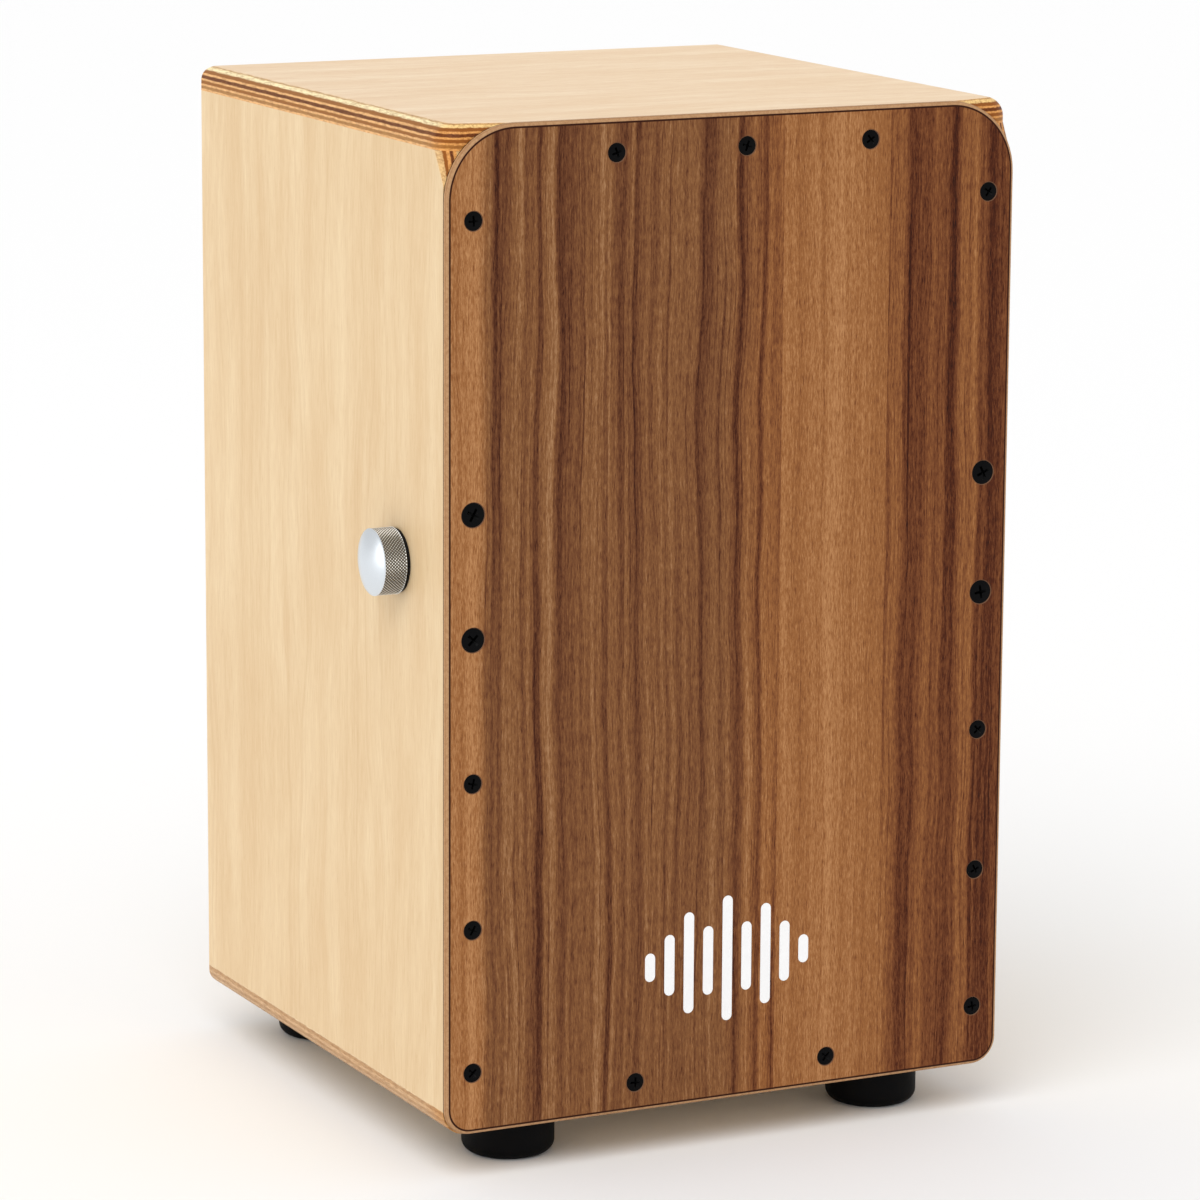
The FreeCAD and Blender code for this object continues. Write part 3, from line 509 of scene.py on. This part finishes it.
def walnut_plate():
    """Walnut veneer on a thin plywood core. Its rounded edge is sanded through to the core."""
    g = Graph("walnut_plate")
    face, fibres, pores = walnut_face(g)
    core = ply_ramp(g, g.y, CORE_PLIES)
    mottle = g.noise(g.stretched(0.7, 0.7, 0.5), detail=4.0, roughness=0.75)
    core = g.mix(g.scaled(mottle, 0.4, 0.64, 0.0, 0.55), core, CORE_MOTTLE)
    inside = inside_outline(g)
    # A painted shadow line along the plate's back edge, against the box.
    joint_shadow = g.math("MULTIPLY", g.scaled(g.y, *JOINT_SHADOW_DEPTH), g.scaled(inside, *JOINT_SHADOW_REACH, 1.0, 0.0))
    core = g.mix(joint_shadow, core, JOINT_SHADOW)
    line_start, line_end = EDGE_LINE
    # A dark line where the face veneer ends: its cut edge and painted shade of the rounding.
    inner = g.mix(g.scaled(inside, line_end - EDGE_SOFT, line_end + EDGE_SOFT), VENEER_EDGE_AND_SHADE, face)
    colour = g.mix(g.scaled(inside, line_start - EDGE_SOFT, line_start + EDGE_SOFT), core, inner)
    past_edge = g.scaled(inside, *PAST_EDGE)
    # Painted shade on the walls of the countersinks.
    countersink_shade = g.math("MULTIPLY", past_edge, g.scaled(g.y, *COUNTERSINK_SHADE_DEPTH))
    colour = g.mix(countersink_shade, colour, COUNTERSINK_SHADE)
    on_back = g.math("MULTIPLY", past_edge, g.scaled(g.y, *BACK_DEPTH))
    back = g.mix(g.scaled(fibres, *NOISE, 0.0, 0.3), BACK_VENEER, BASE_DARK)
    relief = g.math("SUBTRACT", g.math("MULTIPLY", fibres, 0.5), pores)
    return g.set_shader(**{
        "Base Color": g.mix(on_back, colour, back),
        "Roughness": g.scaled(fibres, *NOISE, 0.42, 0.55),
        "Normal": g.bump(relief, depth_mm=0.04),
        "Specular IOR Level": 0.1,
    })


# ---------------------------------------------------------------- other woods

ALONG_GRAIN = 0.02           # how much slower the figure changes along the grain than across it
FIBRES_PER_MM = 2.5


def plain_wood(name, pale, dark, along, pitch):
    """Planed wood with growth lines every pitch millimetres and fine fibres."""
    g = Graph(name)
    stretch = [ALONG_GRAIN if axis == along else 1 for axis in "xyz"]
    rings = g.noise(g.stretched(*[part / pitch for part in stretch]), detail=3.0, roughness=0.55)
    fibres = g.noise(g.stretched(*[part * FIBRES_PER_MM for part in stretch]), detail=2.0)
    colour = g.mix(g.scaled(rings, 0.42, 0.62, smooth=True), pale, dark)
    colour = g.mix(g.scaled(fibres, 0.4, 0.8, 0.0, 0.3), colour, dark)
    return g.set_shader(**{
        "Base Color": colour,
        "Roughness": g.scaled(fibres, *NOISE, 0.6, 0.75),
        "Normal": g.bump(fibres, depth_mm=0.06),
    })


def dress_inner_wood():
    pale, dark = shade(226, 190, 140), shade(196, 148, 96)
    upright = plain_wood("softwood_upright", pale, dark, "z", 5.0)
    level = plain_wood("softwood_level", pale, dark, "x", 5.0)
    dress(upright, "front_batten_left_upper", "front_batten_left_lower", "front_batten_right_upper",
          "front_batten_right_lower", "rear_batten_left", "rear_batten_right")
    dress(level, "front_batten_top", "front_batten_bottom", "rear_batten_top", "rear_batten_bottom")
    dress(plain_wood("block_wood", shade(214, 170, 120), shade(186, 136, 88), "z", 3.0),
          "bearing_block_left", "bearing_block_right")
    dress(plain_wood("beech_bar", shade(209, 160, 112), shade(178, 124, 80), "x", 2.4), "snare_bar")


# ---------------------------------------------------------------- metal, plastic and rubber

FINE_ROUGHNESS, BROAD_ROUGHNESS = 0.05, 0.04     # how far each noise moves the roughness
BROAD_PER_MM = 0.15


def speckled(name, colour, rough, metallic=0.0, grain_mm=0.3, depth_mm=0.01, specular=0.5, mottle=0.12):
    """An even surface with fine unevenness in its gloss and relief."""
    g = Graph(name)
    size = 1 / grain_mm
    fine = g.noise(g.stretched(size, size, size), detail=2.0)
    broad = g.noise(g.stretched(BROAD_PER_MM, BROAD_PER_MM, BROAD_PER_MM), detail=3.0)
    tint = g.grey(g.scaled(broad, *NOISE, 1.0 - mottle, 1.0))
    roughness = g.math("ADD", g.scaled(fine, *NOISE, rough - FINE_ROUGHNESS, rough + FINE_ROUGHNESS),
                       g.scaled(broad, *NOISE, -BROAD_ROUGHNESS, BROAD_ROUGHNESS))
    return g.set_shader(**{
        "Base Color": g.tinted(colour, tint),
        "Metallic": metallic,
        "Roughness": roughness,
        "Normal": g.bump(fine, depth_mm),
        "Specular IOR Level": specular,
    })


TOOL_RINGS_PER_MM = 7.0
SMUDGES_PER_MM = 0.12
GRIP_SHADE_AND_HIGHLIGHT = [  # from painted shade at a groove's bottom to a painted highlight on a diamond's point
    (0.0, shade(66, 63, 58)), (0.4, shade(140, 136, 128)), (0.7, shade(214, 211, 203)),
    (1.0, shade(252, 251, 248)),
]


def turned_aluminium(outer_radius):
    """Satin aluminium with fine tool rings round the knob's axis, painted shade in the grip's grooves and a
    painted highlight on its diamonds' points.
    """
    g = Graph("turned_aluminium")
    from_y = g.math("SUBTRACT", g.y, ((KNOB_LOW.y + KNOB_HIGH.y) / 2 - FACE_Y) / MM)
    from_z = g.math("SUBTRACT", g.z, (KNOB_LOW.z + KNOB_HIGH.z) / 2 / MM)
    radius = g.length(from_y, from_z)
    rings = g.noise(g.vector(g.math("MULTIPLY", radius, TOOL_RINGS_PER_MM), 0.0, 0.0), detail=3.0)
    smudge = g.noise(g.stretched(SMUDGES_PER_MM, SMUDGES_PER_MM, SMUDGES_PER_MM), detail=3.0)
    plain_metal = g.mix(g.scaled(rings, *NOISE), shade(205, 211, 217), shade(228, 233, 237))
    outer = outer_radius / MM
    # The grip's colour runs from painted shade in the grooves to a painted highlight on the points.
    grip = g.ramp(g.scaled(radius, outer - KNURL_DEPTH / MM, outer), GRIP_SHADE_AND_HIGHLIGHT)
    on_dome = g.math("LESS_THAN", g.x, (KNOB_HIGH.x - GRIP_LENGTH + PLAIN_RIM - MIDDLE_X) / MM)
    return g.set_shader(**{
        "Base Color": g.mix(on_dome, grip, plain_metal),
        "Metallic": 1.0,
        "Roughness": g.math("ADD", g.scaled(rings, *NOISE, 0.29, 0.37),
                            g.scaled(smudge, *NOISE, -0.03, 0.03)),
        "Normal": g.bump(rings, depth_mm=0.004),
    })


def dress_hardware():
    dress(speckled("black_nylon", shade(14, 14, 15), 0.5, specular=0.15),
          "knob_bush", "pivot_bush", "friction_washer")
    dress(speckled("black_oxide", shade(6, 6, 7), 0.25, specular=0.06),
          "front_screws_small", "front_screws_large")
    dress(speckled("zinc_steel", shade(196, 199, 204), 0.3, metallic=1.0, grain_mm=1.2),
          "foot_washers", "foot_screws", "spindle", "pivot_pin", "cross_pins", "end_plate_screws",
          "end_plate_nuts", "bracket_screws", "snare_bracket_left", "snare_bracket_right", "knob_set_screw")
    dress(speckled("brass", shade(212, 172, 98), 0.3, metallic=1.0, grain_mm=0.8),
          "snare_end_plate_left", "snare_end_plate_right")
    dress(speckled("moulded_rubber", shade(6, 6, 7), 0.6, grain_mm=0.6, depth_mm=0.04, specular=0.08),
          "foot_front_left", "foot_front_right", "foot_rear_left", "foot_rear_right")


# ---------------------------------------------------------------- mesh helpers

def new_piece(name, vertices, faces, material):
    mesh = bpy.data.meshes.new(name)
    mesh.from_pydata(vertices, [], faces)
    mesh.materials.append(material)
    return add_object(name, mesh)


def shade_smooth(mesh):
    mesh.polygons.foreach_set("use_smooth", [True] * len(mesh.polygons))


def recalculate_normals(mesh):
    work = bmesh.new()
    work.from_mesh(mesh)
    bmesh.ops.recalc_face_normals(work, faces=work.faces)
    work.to_mesh(mesh)
    work.free()


def apply_modifiers(piece):
    shape = piece.evaluated_get(bpy.context.evaluated_depsgraph_get())
    mesh = bpy.data.meshes.new_from_object(shape)
    piece.modifiers.clear()
    old = piece.data
    piece.data = mesh
    bpy.data.meshes.remove(old)


# ---------------------------------------------------------------- knob

KNURLS = 64                  # diamonds round the grip
KNURL_PITCH = 1.6 * MM       # along the grip
KNURL_DEPTH = 0.5 * MM
STEPS_PER_KNURL = 6
GRIP_LENGTH = 11.7 * MM
PLAIN_RIM = 0.55 * MM        # smooth band at each end of the grip
RIM_EASE = 0.4 * MM          # the small bevel at the knob's back and where the dome starts
DOME_ROWS = 20
SET_SCREW_R = 2.0 * MM
HOLE_SIDES = 40
SHARP_ANGLE = 28             # degrees


def lathe(rows, columns):
    """Faces over rows of points round an axis, closed by a fan to one more point at each end."""
    faces = []
    for row in range(rows - 1):
        for column in range(columns):
            after = (column + 1) % columns
            faces.append((row * columns + column, row * columns + after,
                          (row + 1) * columns + after, (row + 1) * columns + column))
    first, last = rows * columns, rows * columns + 1
    end_row = (rows - 1) * columns
    for column in range(columns):
        after = (column + 1) % columns
        faces.append((first, after, column))
        faces.append((last, end_row + column, end_row + after))
    return faces


def knurl_height(turn, along):
    """From 0 in a groove to 1 on a diamond's point. Turn and along count grooves."""
    first = abs(2 * ((turn + along) % 1) - 1)
    second = abs(2 * ((turn - along) % 1) - 1)
    return 1 - max(first, second)


def knob_rows(radius, length):
    """The knob's profile as (distance from its back, radius, grooves counted along or None)."""
    rows = [(0, radius - RIM_EASE, None), (RIM_EASE, radius, None)]
    grip = GRIP_LENGTH - 2 * PLAIN_RIM
    count = round(grip / KNURL_PITCH * STEPS_PER_KNURL)
    for step in range(count + 1):
        rows.append((PLAIN_RIM + grip * step / count, radius, step / STEPS_PER_KNURL))
    rows += [(GRIP_LENGTH - RIM_EASE, radius, None), (GRIP_LENGTH, radius - RIM_EASE, None)]
    dome = length - GRIP_LENGTH
    ball = ((radius - RIM_EASE) ** 2 + dome ** 2) / (2 * dome)
    edge = math.asin((radius - RIM_EASE) / ball)
    for step in range(1, DOME_ROWS):
        angle = edge * (1 - step / DOME_ROWS)
        rows.append((length - ball * (1 - math.cos(angle)), ball * math.sin(angle), None))
    return rows


def build_knob():
    """The turned knob with its grip cut into diamonds and the set screw's hole in the grip."""
    low, high = KNOB_LOW, KNOB_HIGH
    radius = (high.y - low.y) / 2
    axis_y, axis_z = (low.y + high.y) / 2, (low.z + high.z) / 2
    columns = KNURLS * STEPS_PER_KNURL
    rows = knob_rows(radius, high.x - low.x)
    vertices = []
    for along, reach, grooves in rows:
        for column in range(columns):
            angle = 2 * math.pi * column / columns
            cut = 0
            if grooves is not None:
                cut = KNURL_DEPTH * (1 - knurl_height(column / STEPS_PER_KNURL, grooves))
            vertices.append((high.x - along, axis_y + (reach - cut) * math.cos(angle),
                             axis_z + (reach - cut) * math.sin(angle)))
    vertices += [(high.x, axis_y, axis_z), (low.x, axis_y, axis_z)]
    knob = new_piece("knob_knurled", vertices, lathe(len(rows), columns), turned_aluminium(radius))
    cut_set_screw_hole(knob, axis_z)
    shade_smooth(knob.data)
    knob.data.set_sharp_from_angle(angle=math.radians(SHARP_ANGLE))
    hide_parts("knob")
    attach(knob, "snare_rotor")


def cut_set_screw_hole(knob, axis_z):
    """Takes a round hole, down to the set screw's tip, out of the knob."""
    low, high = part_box("knob_set_screw")
    tool = bmesh.new()
    depth = 2 * (SET_SCREW_R + high.y - low.y)
    turn = Matrix.Rotation(math.radians(90), 4, "X")
    middle = Vector(((low.x + high.x) / 2, low.y + depth / 2, axis_z))
    bmesh.ops.create_cone(tool, cap_ends=True, segments=HOLE_SIDES, radius1=SET_SCREW_R,
                          radius2=SET_SCREW_R, depth=depth, matrix=Matrix.Translation(middle) @ turn)
    mesh = bpy.data.meshes.new("set_screw_hole")
    tool.to_mesh(mesh)
    tool.free()
    cutter = add_object("set_screw_hole", mesh)
    recalculate_normals(knob.data)
    cut = knob.modifiers.new("hole", "BOOLEAN")
    cut.operation = "DIFFERENCE"
    cut.solver = "EXACT"
    cut.object = cutter
    apply_modifiers(knob)
    bpy.data.objects.remove(cutter)


# ---------------------------------------------------------------- snare strands

STRANDS = 10
STRAND_SPAN = 63.0 * MM      # from the first strand of a set to the last
WIRE_R = 0.26 * MM
WIRE_PITCH = 1.15 * MM
STEPS_PER_TURN = 9
WIRE_SIDES = 5
PHASE_STEP = 2.4             # radians between the starts of two neighbouring coils


def coil(x, y, reach, start_z, end_z, phase):
    """Vertices and faces of a wire wound round an upright line. Reach is the coil's outer radius."""
    mean = reach - WIRE_R
    steps = int((end_z - start_z - 2 * WIRE_R) / WIRE_PITCH * STEPS_PER_TURN)
    vertices = []
    for step in range(steps + 1):
        angle = phase + 2 * math.pi * step / STEPS_PER_TURN
        centre_z = start_z + WIRE_R + WIRE_PITCH * step / STEPS_PER_TURN
        for side in range(WIRE_SIDES):
            turn = 2 * math.pi * side / WIRE_SIDES
            out = mean + WIRE_R * math.cos(turn)
            vertices.append((x + out * math.cos(angle), y + out * math.sin(angle),
                             centre_z + WIRE_R * math.sin(turn)))
    faces = []
    for step in range(steps):
        near, far = step * WIRE_SIDES, (step + 1) * WIRE_SIDES
        for side in range(WIRE_SIDES):
            after = (side + 1) % WIRE_SIDES
            faces.append((near + side, near + after, far + after, far + side))
    faces.append(tuple(reversed(range(WIRE_SIDES))))
    faces.append(tuple(steps * WIRE_SIDES + side for side in range(WIRE_SIDES)))
    return vertices, faces


def build_strands(hand, material):
    """One set of snare strands as coiled wires."""
    node = f"snare_strands_{hand}"
    low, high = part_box(node)
    reach = (high.y - low.y) / 2
    y = (low.y + high.y) / 2
    vertices, faces = [], []
    for count in range(STRANDS):
        x = low.x + reach + STRAND_SPAN * count / (STRANDS - 1)
        more_vertices, more_faces = coil(x, y, reach, low.z, high.z, phase=count * PHASE_STEP)
        faces += [tuple(len(vertices) + index for index in face) for face in more_faces]
        vertices += more_vertices
    piece = new_piece(f"snare_coils_{hand}", vertices, faces, material)
    recalculate_normals(piece.data)
    shade_smooth(piece.data)
    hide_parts(node)
    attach(piece, "snare_rotor")


# ---------------------------------------------------------------- emblem

EMBLEM_BARS = (14, 30, 50, 34, 62, 34, 50, 30, 14)     # bar heights in millimetres
EMBLEM_WIDTH = 5.4 * MM
EMBLEM_STEP = 10.4 * MM
EMBLEM_Z = 92.5 * MM
EMBLEM_SHIFT = -1.0 * MM
EMBLEM_THICK = 0.06 * MM
EMBLEM_ARC = 10              # steps round each end of a bar


def rounded_bar(x, z, height):
    """An upright bar with round ends, as (x, z) points."""
    radius = EMBLEM_WIDTH / 2
    points = []
    for end in (1, -1):
        middle = z + end * (height / 2 - radius)
        for step in range(EMBLEM_ARC + 1):
            angle = math.pi * step / EMBLEM_ARC
            points.append((x + end * radius * math.cos(angle), middle + end * radius * math.sin(angle)))
    return points


def build_emblem():
    """A plain printed sound wave of white bars, low on the front plate."""
    vertices, faces = [], []
    middle = (len(EMBLEM_BARS) - 1) / 2
    for count, height in enumerate(EMBLEM_BARS):
        x = MIDDLE_X + EMBLEM_SHIFT + (count - middle) * EMBLEM_STEP
        outline = rounded_bar(x, EMBLEM_Z, height * MM)
        size, first = len(outline), len(vertices)
        vertices += [(u, FACE_Y, v) for u, v in outline]
        vertices += [(u, FACE_Y - EMBLEM_THICK, v) for u, v in outline]
        faces.append(tuple(first + index for index in range(size)))
        faces.append(tuple(first + size + index for index in reversed(range(size))))
        for index in range(size):
            after = (index + 1) % size
            faces.append((first + index, first + after, first + size + after, first + size + index))
    ink = speckled("white_print", shade(252, 252, 252), 0.4, grain_mm=0.5, depth_mm=0.005, mottle=0.03)
    emblem = new_piece("front_emblem", vertices, faces, ink)
    recalculate_normals(emblem.data)
    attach(emblem, "cabinet")


# ---------------------------------------------------------------- the scene

add_camera()
add_lights()
add_floor()
dress_boards()
dress(walnut_plate(), "front_plate")
dress_inner_wood()
dress_hardware()
build_knob()
SNARE_WIRE = speckled("snare_wire", shade(206, 200, 190), 0.25, metallic=1.0)
for side in ("left", "right"):
    build_strands(side, SNARE_WIRE)
build_emblem()
